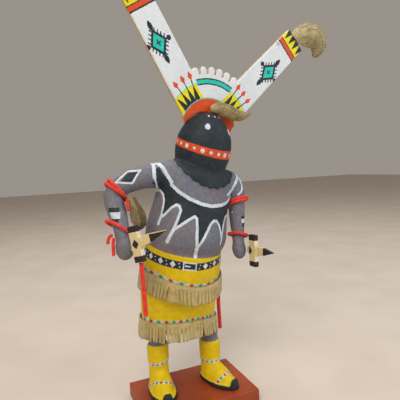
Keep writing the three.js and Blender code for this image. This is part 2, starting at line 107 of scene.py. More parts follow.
# Yarn: shares of the limb's length, how far each side falls along it, and how loose the ring is.
YARN_RADIUS, YARN_CLEAR = 1.6, 0.6
TIES = {
    "tie_elbow_right": (RIGHT_ARM, (0.43, 0.458), (2, -1, 0), 0.0),
    "tie_wrist_right": (RIGHT_ARM, (0.82,), (11, -6, 0), 0.12),
    "tie_arm_left": (LEFT_ARM, (0.45, 0.48), (-2, 1, 0), 0.0),
    "tie_wrist_left": (LEFT_ARM, (0.89,), (1, -1, 0), 0.04),
}
TAILS = {
    "yarn_elbow_right": [
        (-59, -22.6, 203.6), (-59.2, -23.6, 200.5), (-59.4, -24.4, 197), (-59.4, -25, 193.6),
    ],
    "yarn_wrist_right_short": [
        (-75.8, -26.5, 174.4), (-78, -27, 173), (-79.6, -27.4, 170.6), (-80, -27.6, 167.4),
    ],
    "yarn_wrist_right_long": [
        (-75.6, -30.5, 172), (-76.4, -31, 168), (-76.8, -31.2, 163), (-76.8, -31.4, 157.5),
    ],
}
HANGING = {
    "yarn_wand": [
        (-57.4, -44.8, 150.2), (-57.3, -44.8, 145), (-57.1, -44.9, 139), (-57, -45, 132),
        (-56.9, -45, 125), (-56.6, -45, 118), (-56.5, -45, 111), (-56.3, -45, 104.5),
    ],
    "yarn_hip": [
        (38.1, -6.2, 104), (38.9, -6.4, 98), (39.1, -6.5, 92), (38.9, -6.6, 86),
        (38.9, -6.7, 79), (39.1, -6.8, 72), (39.3, -6.8, 65), (39.5, -6.8, 58.5),
    ],
}
# Fur: centre line and radius; those on the slats are measured from the slat's tip in the board's plane.
SLAT_TUFT = [(-1.5, -1, 2.5, 5.5), (8, 8, 2.5, 10.5), (21, 10.5, 3, 12.5), (32, 5, 3, 10),
             (33.5, -3.5, 3, 6.5), (30, -9.5, 3, 2.5)]
HEAD_TUFT = [(30, -21, 283.5, 3.5), (37, -24, 284, 6), (47, -26, 281, 6.6), (57, -27, 277.5, 5.6),
             (67, -27, 277.5, 3.2), (74, -26, 280, 1.2)]
ELBOW_TUFT = [(-53, -19, 205.5, 2.2), (-51.6, -20, 197, 4.6), (-49.4, -21, 188, 6.6), (-49.2, -23, 181, 6),
              (-51.5, -25, 176.5, 2.4)]


# ---- Curves and frames ----
def through(points, share):
    """A smooth line through points, read at shares from 0 to 1: places and directions."""
    p = np.asarray(points, float)
    p = np.vstack([2 * p[0] - p[1], p, 2 * p[-1] - p[-2]])
    s = np.clip(np.atleast_1d(share), 0, 1) * (len(p) - 3)
    i = np.minimum(s.astype(int), len(p) - 4)
    w = (s - i)[:, None]
    a, b, c, d = p[i], p[i + 1], p[i + 2], p[i + 3]
    m, n = (c - a) / 2, (d - b) / 2
    place = (2 * w**3 - 3 * w**2 + 1) * b + (w**3 - 2 * w**2 + w) * m
    place = place + (3 * w**2 - 2 * w**3) * c + (w**3 - w**2) * n
    slope = (6 * w**2 - 6 * w) * (b - c) + (3 * w**2 - 4 * w + 1) * m + (3 * w**2 - 2 * w) * n
    return place, slope * (len(p) - 3)


def unit(v):
    return v / np.linalg.norm(v, axis=-1, keepdims=True)


def turn_matrix(angle, axis):
    return np.array(Matrix.Rotation(angle, 3, axis))


FACE_LEFT = turn_matrix(FACING, "Z")
CROWN_TURN = turn_matrix(CROWN_LEAN, "Y") @ turn_matrix(CROWN_NOD, "X")


def placed(points):
    """From the doll's frame in millimetres to the row frame in metres."""
    return (np.asarray(points, float) @ FACE_LEFT.T + STAND) * MM


def measured(points):
    """From the row frame in metres to the doll's frame in millimetres."""
    return (np.asarray(points, float) / MM - STAND) @ FACE_LEFT


def on_crown(across, up, forward):
    return CROWN_AT + CROWN_TURN @ np.array([across, -forward, up])


SIGHT = unit(np.array([0.43, 0.90, -0.076]))  # from the front towards the doll, in its own frame
SPINE = [
    (x, y, SPINE_FROM + i * (SPINE_TO - SPINE_FROM) / (len(SPINE_ACROSS) - 1))
    for i, (x, y) in enumerate(zip(SPINE_ACROSS, SPINE_FORWARD))
]


def spine_frame(share):
    centre, slope = through(SPINE, share)
    up = unit(slope)
    left = unit(np.stack([np.ones(len(up)), np.zeros(len(up)), -up[:, 0] / up[:, 2]], 1))
    return centre, up, left, np.cross(up, left), slope


def bent(x, y, height):
    """Carries points of the straight body onto the bent spine."""
    share = np.clip((height - SPINE_FROM) / (SPINE_TO - SPINE_FROM), 0, 1)
    centre, up, left, back, _ = spine_frame(share)
    beyond = height - centre[:, 2]
    return centre + left * x[:, None] + back * y[:, None] + up * beyond[:, None]


def unbent(points):
    """The body's own measures: angle from the front towards the left in degrees, height, and radius."""
    share = (points[:, 2] - SPINE_FROM) / (SPINE_TO - SPINE_FROM)
    for _ in range(10):
        centre, _, _, _, slope = spine_frame(share)
        share = np.clip(share + ((points - centre) * slope).sum(1) / (slope**2).sum(1), 0, 1)
    centre, up, left, back, _ = spine_frame(share)
    away = points - centre
    x, y = (away * left).sum(1), (away * back).sum(1)
    height = SPINE_FROM + (SPINE_TO - SPINE_FROM) * share + (away * up).sum(1)
    return np.degrees(np.arctan2(x, -y)), height, np.hypot(x, y)


# ---- Camera ----
VIEW_FROM = (-0.138614, -0.364416, 0.231052)
VIEW_YAW, VIEW_PITCH, VIEW_ROLL = (math.radians(a) for a in (23.138, 4.975, -2.595))
data = bpy.data.cameras.new("view")
data.sensor_width = 36.0
data.lens = 36.9
data.clip_start, data.clip_end = 0.01, 20.0
camera = bpy.data.objects.new("view", data)
scene.collection.objects.link(camera)
camera.matrix_world = (
    Matrix.Translation(VIEW_FROM)
    @ Matrix.Rotation(-VIEW_YAW, 4, "Z")
    @ Matrix.Rotation(math.pi / 2 - VIEW_PITCH, 4, "X")
    @ Matrix.Rotation(VIEW_ROLL, 4, "Z")
)
scene.camera = camera


# ---- Materials ----
def colour(text):
    """An sRGB hex colour as linear red, green, blue and alpha."""
    parts = [int(text[i : i + 2], 16) / 255 for i in (1, 3, 5)]
    return [c / 12.92 if c <= 0.04045 else ((c + 0.055) / 1.055) ** 2.4 for c in parts] + [1.0]


def add(tree, kind, inputs, **settings):
    """Adds a node with its settings; an input is a value, or a socket to link."""
    made = tree.nodes.new(kind)
    for key, value in settings.items():
        setattr(made, key, value)
    for key, value in inputs.items():
        if isinstance(value, bpy.types.NodeSocket):
            tree.links.new(value, made.inputs[key])
        else:
            made.inputs[key].default_value = value
    return made


def blend(tree, share, low, high):
    """A colour between two, each a hex value or a socket."""
    pick = [v if isinstance(v, bpy.types.NodeSocket) else colour(v) for v in (low, high)]
    return add(tree, "ShaderNodeMix", {0: share, 6: pick[0], 7: pick[1]}, data_type="RGBA").outputs[2]


def mottle(tree, where, millimetres, low, high, detail=3.0):
    """A soft noise whose patches are so many millimetres wide, stretched to run from 0 to 1."""
    size = {"Vector": where, "Scale": 1 / (millimetres * MM), "Detail": detail}
    noise = add(tree, "ShaderNodeTexNoise", size)
    spread = {"Value": noise.outputs["Fac"], "From Min": low, "From Max": high}
    return add(tree, "ShaderNodeMapRange", spread).outputs["Result"]


def new_material(name, roughness, specular=0.5):
    made = bpy.data.materials.new(name)
    made.use_nodes = True
    shader = made.node_tree.nodes["Principled BSDF"]
    shader.inputs["Roughness"].default_value = roughness
    shader.inputs["Specular IOR Level"].default_value = specular
    return made, made.node_tree, shader


def relief(tree, shader, height, strength, millimetres):
    inputs = {"Height": height, "Strength": strength, "Distance": millimetres * MM}
    tree.links.new(add(tree, "ShaderNodeBump", inputs).outputs["Normal"], shader.inputs["Normal"])


EDGE_SWAY = 0.18  # how far a painted edge wanders, in mm


def poster_paint(name, ground, coats, roughness=0.62):
    """Flat hand-brushed paint on carved wood: a ground and coats over it, each edged by an attribute in mm.

    The edges wander a little as a brush does, and each coat is thinner in places.
    """
    made, tree, shader = new_material(name, roughness, 0.35)
    where = add(tree, "ShaderNodeTexCoord", {}).outputs["Object"]
    wander = mottle(tree, where, 1.6, 0.35, 0.65)
    worn = mottle(tree, where, 5.0, 0.35, 0.7)
    broad = mottle(tree, where, 26.0, 0.38, 0.62)
    shade = blend(tree, broad, ground[0], ground[1])
    shade = blend(tree, mottle(tree, where, 3.0, 0.45, 0.8), shade, ground[2])
    for attribute, thick, thin in coats:
        edge = add(tree, "ShaderNodeAttribute", {}, attribute_name=attribute).outputs["Fac"]
        sway = {0: wander, 1: 2 * EDGE_SWAY, 2: -EDGE_SWAY}
        offset = add(tree, "ShaderNodeMath", sway, operation="MULTIPLY_ADD").outputs[0]
        moved = add(tree, "ShaderNodeMath", {0: edge, 1: offset}, operation="ADD").outputs[0]
        edge_width = {"Value": moved, "From Min": -0.1, "From Max": 0.12}
        cover = add(tree, "ShaderNodeMapRange", edge_width).outputs["Result"]
        shade = blend(tree, cover, shade, blend(tree, worn, thick, thin))
    tree.links.new(shade, shader.inputs["Base Color"])
    brush = mottle(tree, where, 1.4, 0.3, 0.7, 2.0)
    relief(tree, shader, brush, 0.22, 0.25)
    return made


def soft_fibre(name, dark, light, millimetres, roughness=0.95, strength=0.4):
    """Wool, fur or suede: no gloss, a light sheen, and shades that change over a few fibres."""
    made, tree, shader = new_material(name, roughness, 0.15)
    where = add(tree, "ShaderNodeTexCoord", {}).outputs["Object"]
    fine = mottle(tree, where, millimetres, 0.35, 0.65)
    broad = mottle(tree, where, millimetres * 7, 0.35, 0.65)
    shade = blend(tree, fine, dark, light)
    tree.links.new(blend(tree, broad, shade, light), shader.inputs["Base Color"])
    shader.inputs["Sheen Weight"].default_value = 0.25
    relief(tree, shader, mottle(tree, where, millimetres * 0.6, 0.3, 0.7), strength, 0.3)
    return made


def stained_board(name, dark, light, worn, roughness):
    """Thin brushed paint on a sawn board: long faint grain, a satin face and rubbed places."""
    made, tree, shader = new_material(name, roughness, 0.45)
    where = add(tree, "ShaderNodeTexCoord", {}).outputs["Object"]
    stretched = add(tree, "ShaderNodeMapping", {"Vector": where, "Scale": (0.12, 1.0, 1.0)}).outputs["Vector"]
    grain = mottle(tree, stretched, 2.2, 0.35, 0.65)
    cloud = mottle(tree, where, 30.0, 0.35, 0.65)
    shade = blend(tree, cloud, dark, light)
    shade = blend(tree, grain, shade, blend(tree, 0.35, shade, dark))
    rubbed = mottle(tree, where, 7.0, 0.62, 0.8)
    tree.links.new(blend(tree, rubbed, shade, worn), shader.inputs["Base Color"])
    relief(tree, shader, grain, 0.12, 0.2)
    return made


# ---- Meshes ----
def finish(obj, nodes, material):
    """Dresses a finished piece and lets it stand for its solids."""
    if material is not None:
        obj.data.materials.clear()
        obj.data.materials.append(material)
    obj.data.polygons.foreach_set("use_smooth", [True] * len(obj.data.polygons))
    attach(obj, "root")
    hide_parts(*nodes)
    return obj


def new_object(name, mesh):
    obj = bpy.data.objects.new(name, mesh)
    scene.collection.objects.link(obj)
    return obj


def settled(obj, name):
    """The object with its modifiers applied, under its final name."""
    bpy.context.view_layer.update()
    done = bpy.data.meshes.new_from_object(obj.evaluated_get(bpy.context.evaluated_depsgraph_get()))
    bpy.data.objects.remove(obj)
    done.name = name
    return new_object(name, done)


def carved_again(name, node, voxel, softening):
    """A fine copy of a solid, with the facets worn off as by sanding."""
    bm = bmesh.new()
    bm.from_mesh(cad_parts[node].data)
    bmesh.ops.remove_doubles(bm, verts=bm.verts, dist=1e-6)
    mesh = bpy.data.meshes.new(name)
    bm.to_mesh(mesh)
    bm.free()
    obj = new_object(name + "_rough", mesh)
    remesh = obj.modifiers.new("remesh", "REMESH")
    remesh.mode = "VOXEL"
    remesh.voxel_size = voxel * MM
    sanding = obj.modifiers.new("sanding", "SMOOTH")
    sanding.factor = 0.5
    sanding.iterations = softening
    return settled(obj, name)


def corners(obj):
    found = np.empty(len(obj.data.vertices) * 3)
    obj.data.vertices.foreach_get("co", found)
    return found.reshape(-1, 3)


def facings(obj):
    found = np.empty(len(obj.data.vertices) * 3)
    obj.data.vertex_normals.foreach_get("vector", found)
    return found.reshape(-1, 3)


def edge_coats(obj, coats_of, near=0.9, cap=30000):
    """Splits the faces that a paint edge crosses, then writes each coat as an attribute."""
    names = coats_of(obj)
    closest = np.min([np.abs(d) for d in names.values()], axis=0)
    bm = bmesh.new()
    bm.from_mesh(obj.data)
    bm.verts.ensure_lookup_table()
    crossed = [e for e in bm.edges if closest[e.verts[0].index] < near and closest[e.verts[1].index] < near]
    if len(crossed) > cap:
        crossed = sorted(crossed, key=lambda e: closest[e.verts[0].index] + closest[e.verts[1].index])[:cap]
    bmesh.ops.subdivide_edges(bm, edges=crossed, cuts=1, use_grid_fill=True)
    bm.to_mesh(obj.data)
    bm.free()
    for name, distances in coats_of(obj).items():
        layer = obj.data.attributes.new(name, "FLOAT", "POINT")
        layer.data.foreach_set("value", np.clip(distances, -5, 5).astype(np.float32))


# ---- Painted shapes, as distances in mm that are positive inside ----
def stroke(x, y, points, half):
    """A brush line through points."""
    best = np.full(len(x), 1e3)
    for (ax, ay), (bx, by) in zip(points, points[1:]):
        dx, dy = bx - ax, by - ay
        t = np.clip(((x - ax) * dx + (y - ay) * dy) / (dx * dx + dy * dy + 1e-9), 0, 1)
        best = np.minimum(best, np.hypot(x - ax - t * dx, y - ay - t * dy))
    return half - best


def traced(points, route):
    """How far each point is from a line in space, and how far along that line it lies."""
    best, far, before = np.full(len(points), 1e3), np.zeros(len(points)), 0.0
    for a, b in zip(np.array(route[:-1], float), np.array(route[1:], float)):
        length = np.linalg.norm(b - a)
        t = np.clip((points - a) @ (b - a) / length**2, 0, 1)
        gap = np.linalg.norm(points - a - t[:, None] * (b - a), axis=1)
        far = np.where(gap < best, before + t * length, far)
        best = np.minimum(best, gap)
        before += length
    return best, far


def sighted(points, facing, route, half):
    """A brush line over a rounded shoulder, as wide as it looks from the front."""
    flat = lambda p: p - np.outer(p @ SIGHT, SIGHT)
    gap, _ = traced(flat(points), flat(np.array(route, float)))
    here = (traced(points, route)[0] < 8) & (facing @ -SIGHT > 0)
    return both(half - gap, np.where(here, 1e3, -1e3))


def field(x, y, points):
    """A filled outline."""
    inside = np.zeros(len(x), bool)
    closed = [*points, points[0]]
    for (ax, ay), (bx, by) in zip(closed, closed[1:]):
        across = (ay > y) != (by > y)
        where = ax + (bx - ax) * (y - ay) / (by - ay + (1e-9 if by == ay else 0))
        inside ^= across & (x < where)
    away = -stroke(x, y, closed, 0.0)
    return np.where(inside, away, -away)


def dot(x, y, at, radius):
    return radius - np.hypot(x - at[0], y - at[1])


def lozenge(x, y, at, a, b):
    return (1 - np.abs(x - at[0]) / a - np.abs(y - at[1]) / b) * a * b / math.hypot(a, b)


def both(*distances):
    return np.minimum.reduce(distances)


def any_of(*distances):
    return np.maximum.reduce(distances)


def wrap(angle):
    return (angle + 180) % 360 - 180


# ---- The figure's paint, in the body's own measures ----
PER_DEGREE = 0.66  # millimetres of skin per degree round the torso
BROW = 9.5  # the way the hood's face looks, in degrees to the left of the front

# The collar's line from the right shoulder, under the chin, to the left shoulder: angle and height.
COLLAR = [(-84, 227), (-80, 221), (-73, 214), (-64, 208), (-50, 203.2), (-33, 199.6), (-12, 197.2),
          (8, 196.8), (30, 199), (48, 202), (61, 207), (68, 214), (72, 221), (76, 228)]
# The black yoke's edges at the two armpits.
RIGHT_SEAM = [(-84, 227), (-79, 217), (-77, 209), (-80, 203), (-92, 198.5)]
LEFT_SEAM = [(76, 228), (78, 221), (77, 216), (71, 211), (66, 205)]
# White lines over the rounded shoulders, each with its half width, as places in the doll's frame: the
# collar's right end, the seam beside it and its thin lower end, the collar's left end, the loop beyond it.
SHOULDER_LINES = [
    ([(-30, -13, 234.2), (-25.5, -16, 234), (-22.9, -21.6, 229.6), (-21.3, -24.1, 224.5),
      (-17.6, -27.2, 216)], 1.7),
    ([(-29.5, -15, 234), (-32, -22.1, 227.8), (-32.4, -23.2, 220.6)], 1.6),
    ([(-32.4, -23.2, 220.6), (-29.8, -20.9, 215), (-27, -15, 211.5), (-24.4, -9.3, 209.7)], 0.9),
    ([(38.3, -34.2, 200.3), (47.3, -28.6, 205.3), (52.5, -27.6, 211.9), (56.5, -25, 217),
      (57, -21, 221)], 1.3),
    ([(57, -21, 221), (59, -24, 216), (60, -26.5, 209), (59.5, -27.6, 204.5), (57.5, -28.6, 201.6),
      (53.5, -29, 199.2)], 0.9),
]
# The yoke's ragged hem, from the right armpit to the left: arches with teeth between them.
YOKE_HEM = [(-92, 198.5), (-88, 199.5), (-82, 200.2), (-75, 197.5), (-70, 192), (-68, 185), (-67, 178),
            (-62, 181), (-55, 188), (-49, 191.6), (-44, 191.6), (-40, 188), (-41, 180), (-43.5, 171),
            (-36, 175.5), (-27, 181.5), (-19, 185.6), (-15.5, 184), (-13.6, 177), (-12.4, 167), (-10, 158.5),
            (-6, 163.5), (0, 173), (6, 181), (12, 184.6), (18, 184.6), (23, 181), (26, 175), (28.5, 168),
            (31, 175), (36, 183), (43, 188.5), (54, 190), (66, 193)]
# The drips: where the brush ran on below each tooth, with its half width.
DRIPS = [([(-67, 178), (-68, 172.5)], 1.4), ([(-43.5, 171), (-49.5, 160)], 1.5),
         ([(-10, 158.5), (-8.5, 149.6)], 1.7), ([(28.5, 168), (28, 162.5)], 1.0)]
BACK_TOOTH = 34.0  # degrees from one tooth to the next behind
# How far from the spine the paint of the torso, of the arms' roots and of the kilt reaches.
TORSO_REACH, ARM_ROOT, YOKE_REACH, KILT_REACH = 42.5, 46, 50, 46
WAIST_DIP, KILT_LOW = 4.5, 66


def bib_edge(angle, radius):
    front = np.cos(np.radians(angle))
    end = np.where(front > 0, BIB["front"], BIB["back"])
    lobe = np.abs(np.sin(BIB["lobes"] / 2 * np.radians(angle - 90)))
    edge = BIB["side"] + (end - BIB["side"]) * np.abs(front) ** 1.3 - BIB["lobe_depth"] * lobe
    return BIB["front"] + (edge - BIB["front"]) * radius / 30


def belt_line(angle):
    a = np.radians(angle)
    return 140.2 + 4.5 * (1 - np.abs(np.cos(a))) + 4 * np.maximum(np.sin(a), 0) * np.abs(np.cos(a / 2))


def upper_line(angle):
    return 121.6 + 9.2 * np.sin(np.radians(angle - 5)) ** 2


def lower_line(angle):
    return 85.4 - 6.3 * np.maximum(np.sin(np.radians(angle)), 0) ** 2


def limb_measures(points, rows):
    """How far along a limb each point is, and how far outside its skin."""
    shares = np.linspace(0, 1, 60)
    line, _ = through(rows, shares)
    gaps = np.linalg.norm(points[:, None, :] - line[None, :, :3], axis=2)
    k = gaps.argmin(1)
    return shares[k], gaps.min(1) - line[k, 3]


def patch(points, facing, centre, sight):
    """Flat measures on a plane that looks along sight, for marks on a limb's outer side."""
    sight = unit(np.asarray(sight, float))
    right = unit(np.cross(sight, (0, 0, 1)))
    up = np.cross(right, sight)
    away = points - centre
    here = np.where((facing @ -sight > 0.05) & (np.abs(away @ sight) < 11), 1e3, -1e3)
    return away @ right, away @ up, here


def yoke(points, facing, angle, height, radius):
    """The black yoke and its white lines, round the front and plainer round the back."""
    x = angle * PER_DEGREE
    scaled = lambda points: [(a * PER_DEGREE, h) for a, h in points]
    front_shape = field(x, height, scaled([*COLLAR, *LEFT_SEAM[1:], *YOKE_HEM[::-1], *RIGHT_SEAM[-2:0:-1]]))
    lines = any_of(
        both(stroke(x, height, scaled(COLLAR[3:-3]), 1.55), TORSO_REACH - radius),
        stroke(x, height, scaled(YOKE_HEM), 1.2),
        *[stroke(x, height, scaled(points), half) for points, half in DRIPS],
    )
    beside_arms = (np.abs(angle) >= 55) & (height <= 203)
    in_front = np.where(beside_arms, TORSO_REACH, YOKE_REACH) - radius
    # Behind, a plain collar and even teeth, from armpit to armpit.
    behind = np.abs(wrap(angle - 180))
    collar = 213 + 3 * (behind / 100) ** 2
    swing = np.abs(wrap(behind * 360 / BACK_TOOTH)) / 180
    hem = np.where(behind > 3 * BACK_TOOTH - 34, 199, 170 + 20 * np.sqrt(np.clip(1 - swing**2, 0, 1)))
    torso_back = both((90 - behind) * PER_DEGREE, 43.5 - radius)
    back_shape = both(collar - height, height - hem, torso_back)
    back_lines = both(any_of(1.4 - np.abs(height - collar), 1.1 - 0.7 * np.abs(height - hem)), torso_back)
    shoulders = any_of(*[sighted(points, facing, route, half) for route, half in SHOULDER_LINES])
    black = any_of(both(front_shape, in_front), back_shape)
    return black, any_of(both(lines, in_front, ARM_ROOT - radius), back_lines, shoulders)


def beads(angle, height, line, spacing, start, half, size=(2.9, 1.75)):
    """A white bead row with lozenges in two colours by turns."""
    offset = height - line
    row = half - np.abs(offset)
    k = np.round((angle - start) / spacing)
    along = (angle - start - k * spacing) * PER_DEGREE
    mark = lozenge(along, offset, (0, 0), *size)
    odd = k % 2 == 0
    return row, np.where(odd, mark, -5), np.where(odd, -5, mark)


SHIN_START = {"right": 3.0, "left": -1.0}  # where a red mark of the shin's bead row stands
# The bead row over each instep, from the outer side of the right foot and the inner side of the left.
INSTEP = {
    "right": [(-41.9, -2, 16.6), (-40.9, -10.6, 23.1), (-38.8, -15.9, 25.9), (-35.6, -19.4, 27),
              (-31.3, -21.3, 26.6), (-26.6, -20.9, 24.5), (-22.5, -18, 20.6), (-19.4, -14, 16.6)],
    "left": [(16.6, -34, 16.6), (19.1, -35.7, 20.3), (21.6, -36.5, 23), (24.4, -36.7, 24.3),
             (27.8, -35.9, 25), (32.6, -33.1, 23.9), (35.6, -30, 20.5), (37, -27, 16.6)],
}


def boot_coats(points, side):
    """Yellow boot, black sole and toe tab, and painted bead rows."""
    x, y, turn, swell = LEGS[side]
    flat = (points - (x, y, 0)) @ turn_matrix(math.radians(turn), "Z")
    ankle, z = np.degrees(np.arctan2(flat[:, 0], -flat[:, 1])), points[:, 2]
    near = 40 - np.hypot(flat[:, 0], flat[:, 1] + 12)
    cuff = swell + (18.3 if side == "right" else 20.5)
    boot = both(cuff - z, near)
    shin = swell + 0.3 + 1.0 * np.sin(np.radians(ankle + 10)) * (1 if side == "right" else -0.4)
    shin_row, shin_red, shin_blue = beads(ankle * 0.28, z, shin, 7.8, SHIN_START[side], 1.5, (2.1, 1.25))
    gap, far = traced(points, INSTEP[side])
    instep = 1.25 - gap
    k = np.round((far - 2.2) / 5.0)
    mark = both(lozenge(far - 2.2 - k * 5.0, gap, (0, 0), 2.2, 1.7), instep + 0.3)
    odd = k % 2 == 0
    tab = both(-flat[:, 1] - 33.6, 5.2 - np.abs(flat[:, 0]))
    dark = both(any_of(SOLE_TOP - z, tab), near)
    white = both(any_of(shin_row, instep), boot)
    red = both(any_of(shin_red, np.where(odd, mark, -5)), boot)
    blue = both(any_of(shin_blue, np.where(odd, -5, mark)), boot)
    return boot, dark, white, red, blue


FIST_REACH, SKIN = 13, 1.2  # how far a fist reaches from its middle, and what still counts as a limb's skin


def figure_coats(obj):
    points = measured(corners(obj))
    facing = facings(obj) @ FACE_LEFT
    angle, height, radius = unbent(points)
    share_right, off_right = limb_measures(points, RIGHT_ARM)
    share_left, off_left = limb_measures(points, LEFT_ARM)
    fists = np.minimum(
        np.linalg.norm(points - (-66.5, -32, 163), axis=1), np.linalg.norm(points - (49.5, -33, 146), axis=1)
    )
    in_fist = fists < FIST_REACH
    on_right = (off_right < SKIN) & (share_right > 0.35)
    on_left = (off_left < SKIN) & (share_left > 0.3)
    on_arm = on_right | on_left | in_fist
    trunk = np.where(on_arm, -1e3, 1e3)

    hood_edge = height - bib_edge(angle, radius)
    hood = both(hood_edge, 43 - radius, height - 205)
    band_line = 242.6 + 5.5 * (1 - np.cos(np.radians(angle - 3)))
    band = both(3.7 - np.abs(height - band_line), 32 - radius)
    k = np.round((angle + 80) / (360 / 21))
    nick = 0.4 * np.sin(k * 2.4)
    band_dot = both(
        dot((angle + 80 - k * 360 / 21) * 0.47, height - band_line, (0, 0), 1.75) + nick, band)
    pair = [dot((angle - BROW - side) * 0.42, height, (0, 265 - side * 0.03), 2.75) for side in (-34.5, 34.5)]
    brow_dots = [dot((angle - a) * 0.21, height, (0, 276.4), 0.85) for a in (-23, 6, 35)]
    eyes = both(any_of(*pair, *brow_dots), hood)

    black_yoke, yoke_lines = yoke(points, facing, angle, height, radius)

    rim = KILT[-1][0] - 0.2 + WAIST_DIP * (1 - np.abs(np.cos(np.radians(angle))))
    kilt = both(rim - height, points[:, 2] - KILT_LOW, KILT_REACH - radius, trunk)
    belt_mid = height - belt_line(angle)
    belt = both(3.5 - np.abs(belt_mid), kilt)
    place = angle + 15
    step = 18.5
    n = np.round((np.abs(place) - 24) / step)
    along = (np.abs(place) - 24 - n * step) * PER_DEGREE
    studs = both(lozenge(along, belt_mid, (0, 0), 2.7, 3.2), np.where(n >= 0, 1e3, -1e3), belt)
    between = (np.abs(place) - 24 - (np.floor((np.abs(place) - 24) / step) + 0.5) * step) * PER_DEGREE
    specks = any_of(*[dot(between, belt_mid, at, 0.62) for at in ((0.4, 1.5), (-0.3, -1.5))])
    specks = both(specks, belt, np.abs(place) * PER_DEGREE - 8)
    bx = place * PER_DEGREE
    frame_lines = any_of(0.55 - np.abs(np.abs(bx) - 6), 0.5 - np.abs(np.abs(belt_mid) - 3.1))
    buckle = both(frame_lines, 6.6 - np.abs(bx), belt + 0.6)
    dash = both(stroke(bx, belt_mid, [(-4.4, 0.9), (0.6, 0.0), (-4.4, -0.4)], 0.35), belt)

    up_row, up_red, up_green = beads(angle, height, upper_line(angle), 15.2, -70, 1.25)
    low_row, low_red, low_green = beads(angle, height, lower_line(angle), 12.4, -72, 1.25)

    look = (0.485, 0.875, -0.08)
    px, py, here = patch(points, facing, (-53.7, -16.3, 223.4), look)
    mark = field(px, py, [(-7.6, -5.0), (-1.5, 3.2), (8.2, 3.6), (2.0, -5.2)])
    rim = any_of(stroke(px, py, [(-11.6, -5.2), (-2.0, 4.6), (10.2, 4.9)], 0.8),
                 stroke(px, py, [(-11.6, -5.2), (2.6, -6.6), (9.4, 4.6)], 0.8))
    arm_here = both(here, np.where(share_right > 0.2, 1e3, -1e3))
    arm_black, arm_white = both(mark, arm_here), both(rim, arm_here)
    fx, fy, here = patch(points, facing, (-71.8, -23.2, 191.3), look)
    here = both(here, np.where(on_arm, 1e3, -1e3))
    blocks = any_of(field(fx, fy, [(-5.2, 5.6), (4.6, 6.0), (4.6, 2.2), (-4.8, 1.8)]),
                    field(fx, fy, [(-2.4, -3.8), (4.4, -3.6), (4.0, -7.2), (-2.2, -7.6)]))
    panel = field(fx, fy, [(-4.0, 1.8), (5.4, 1.6), (5.2, -3.8), (-2.8, -3.8)])
    lx, ly, left_here = patch(points, facing, (58, -31, 172.2), (-0.35, 0.93, 0))
    left_here = both(left_here, np.where(on_arm, 1e3, -1e3))
    left_blocks = any_of(field(lx, ly, [(-3.6, 5.6), (6, 5.6), (6, 2.8), (-3.6, 2.8)]),
                         field(lx, ly, [(-3.6, -1.4), (6, -1.4), (6, -5.6), (-3.6, -5.6)]))
    left_panel = field(lx, ly, [(-3.6, 2.6), (6, 2.6), (6, -1.2), (-3.6, -1.2)])

    right_boot, right_dark, right_white, right_red, right_blue = boot_coats(points, "right")
    left_boot, left_dark, left_white, left_red, left_blue = boot_coats(points, "left")

    hem_rows = [both(d, kilt) for d in (up_row, low_row, up_red, low_red, up_green, low_green)]
    return {
        "yellow": any_of(kilt, right_boot, left_boot),
        "black": any_of(hood, both(black_yoke, trunk), belt, arm_black, both(blocks, here),
                        both(left_blocks, left_here), right_dark, left_dark),
        "orange": band,
        "white": any_of(band_dot, eyes, both(yoke_lines, np.where(in_fist, -1e3, 1e3)),
                        studs, specks, buckle, dash,
                        hem_rows[0], hem_rows[1], arm_white, both(panel, here), both(left_panel, left_here),
                        right_white, left_white),
        "red": any_of(hem_rows[2], hem_rows[3], right_red, left_red),
        "green": any_of(hem_rows[4], hem_rows[5], right_blue, left_blue),
    }


def carved_figure():
    obj = carved_again("figure_carved", "figure", 1.2, 8)
    edge_coats(obj, figure_coats)
    # Chalky grey body paint with flat bright coats over it, each with a hand-painted edge.
    material = poster_paint(
        "grey_poster_paint_on_cottonwood",
        ("#67707f", "#73696f", "#7c828e"),
        [
            ("yellow", "#e0c600", "#d4b400"),
            ("black", "#1a242c", "#28333c"),
            ("orange", "#dd5420", "#c9481a"),
            ("white", "#d8e6ef", "#b9c9d6"),
            ("red", "#d04a1c", "#b83e1c"),
            ("green", "#2fae84", "#2a8f8a"),
        ],
    )
    return finish(obj, ["figure"], material)


# ---- The crown board's paint, in the board's plane ----
SPEARS = (31.0, 40.0, 49.5, 58.8)  # degrees from the crown's middle
SPEAR_ROOT, SPEAR_TOP, FAN_EDGE = 30.4, 44.5, 25.0


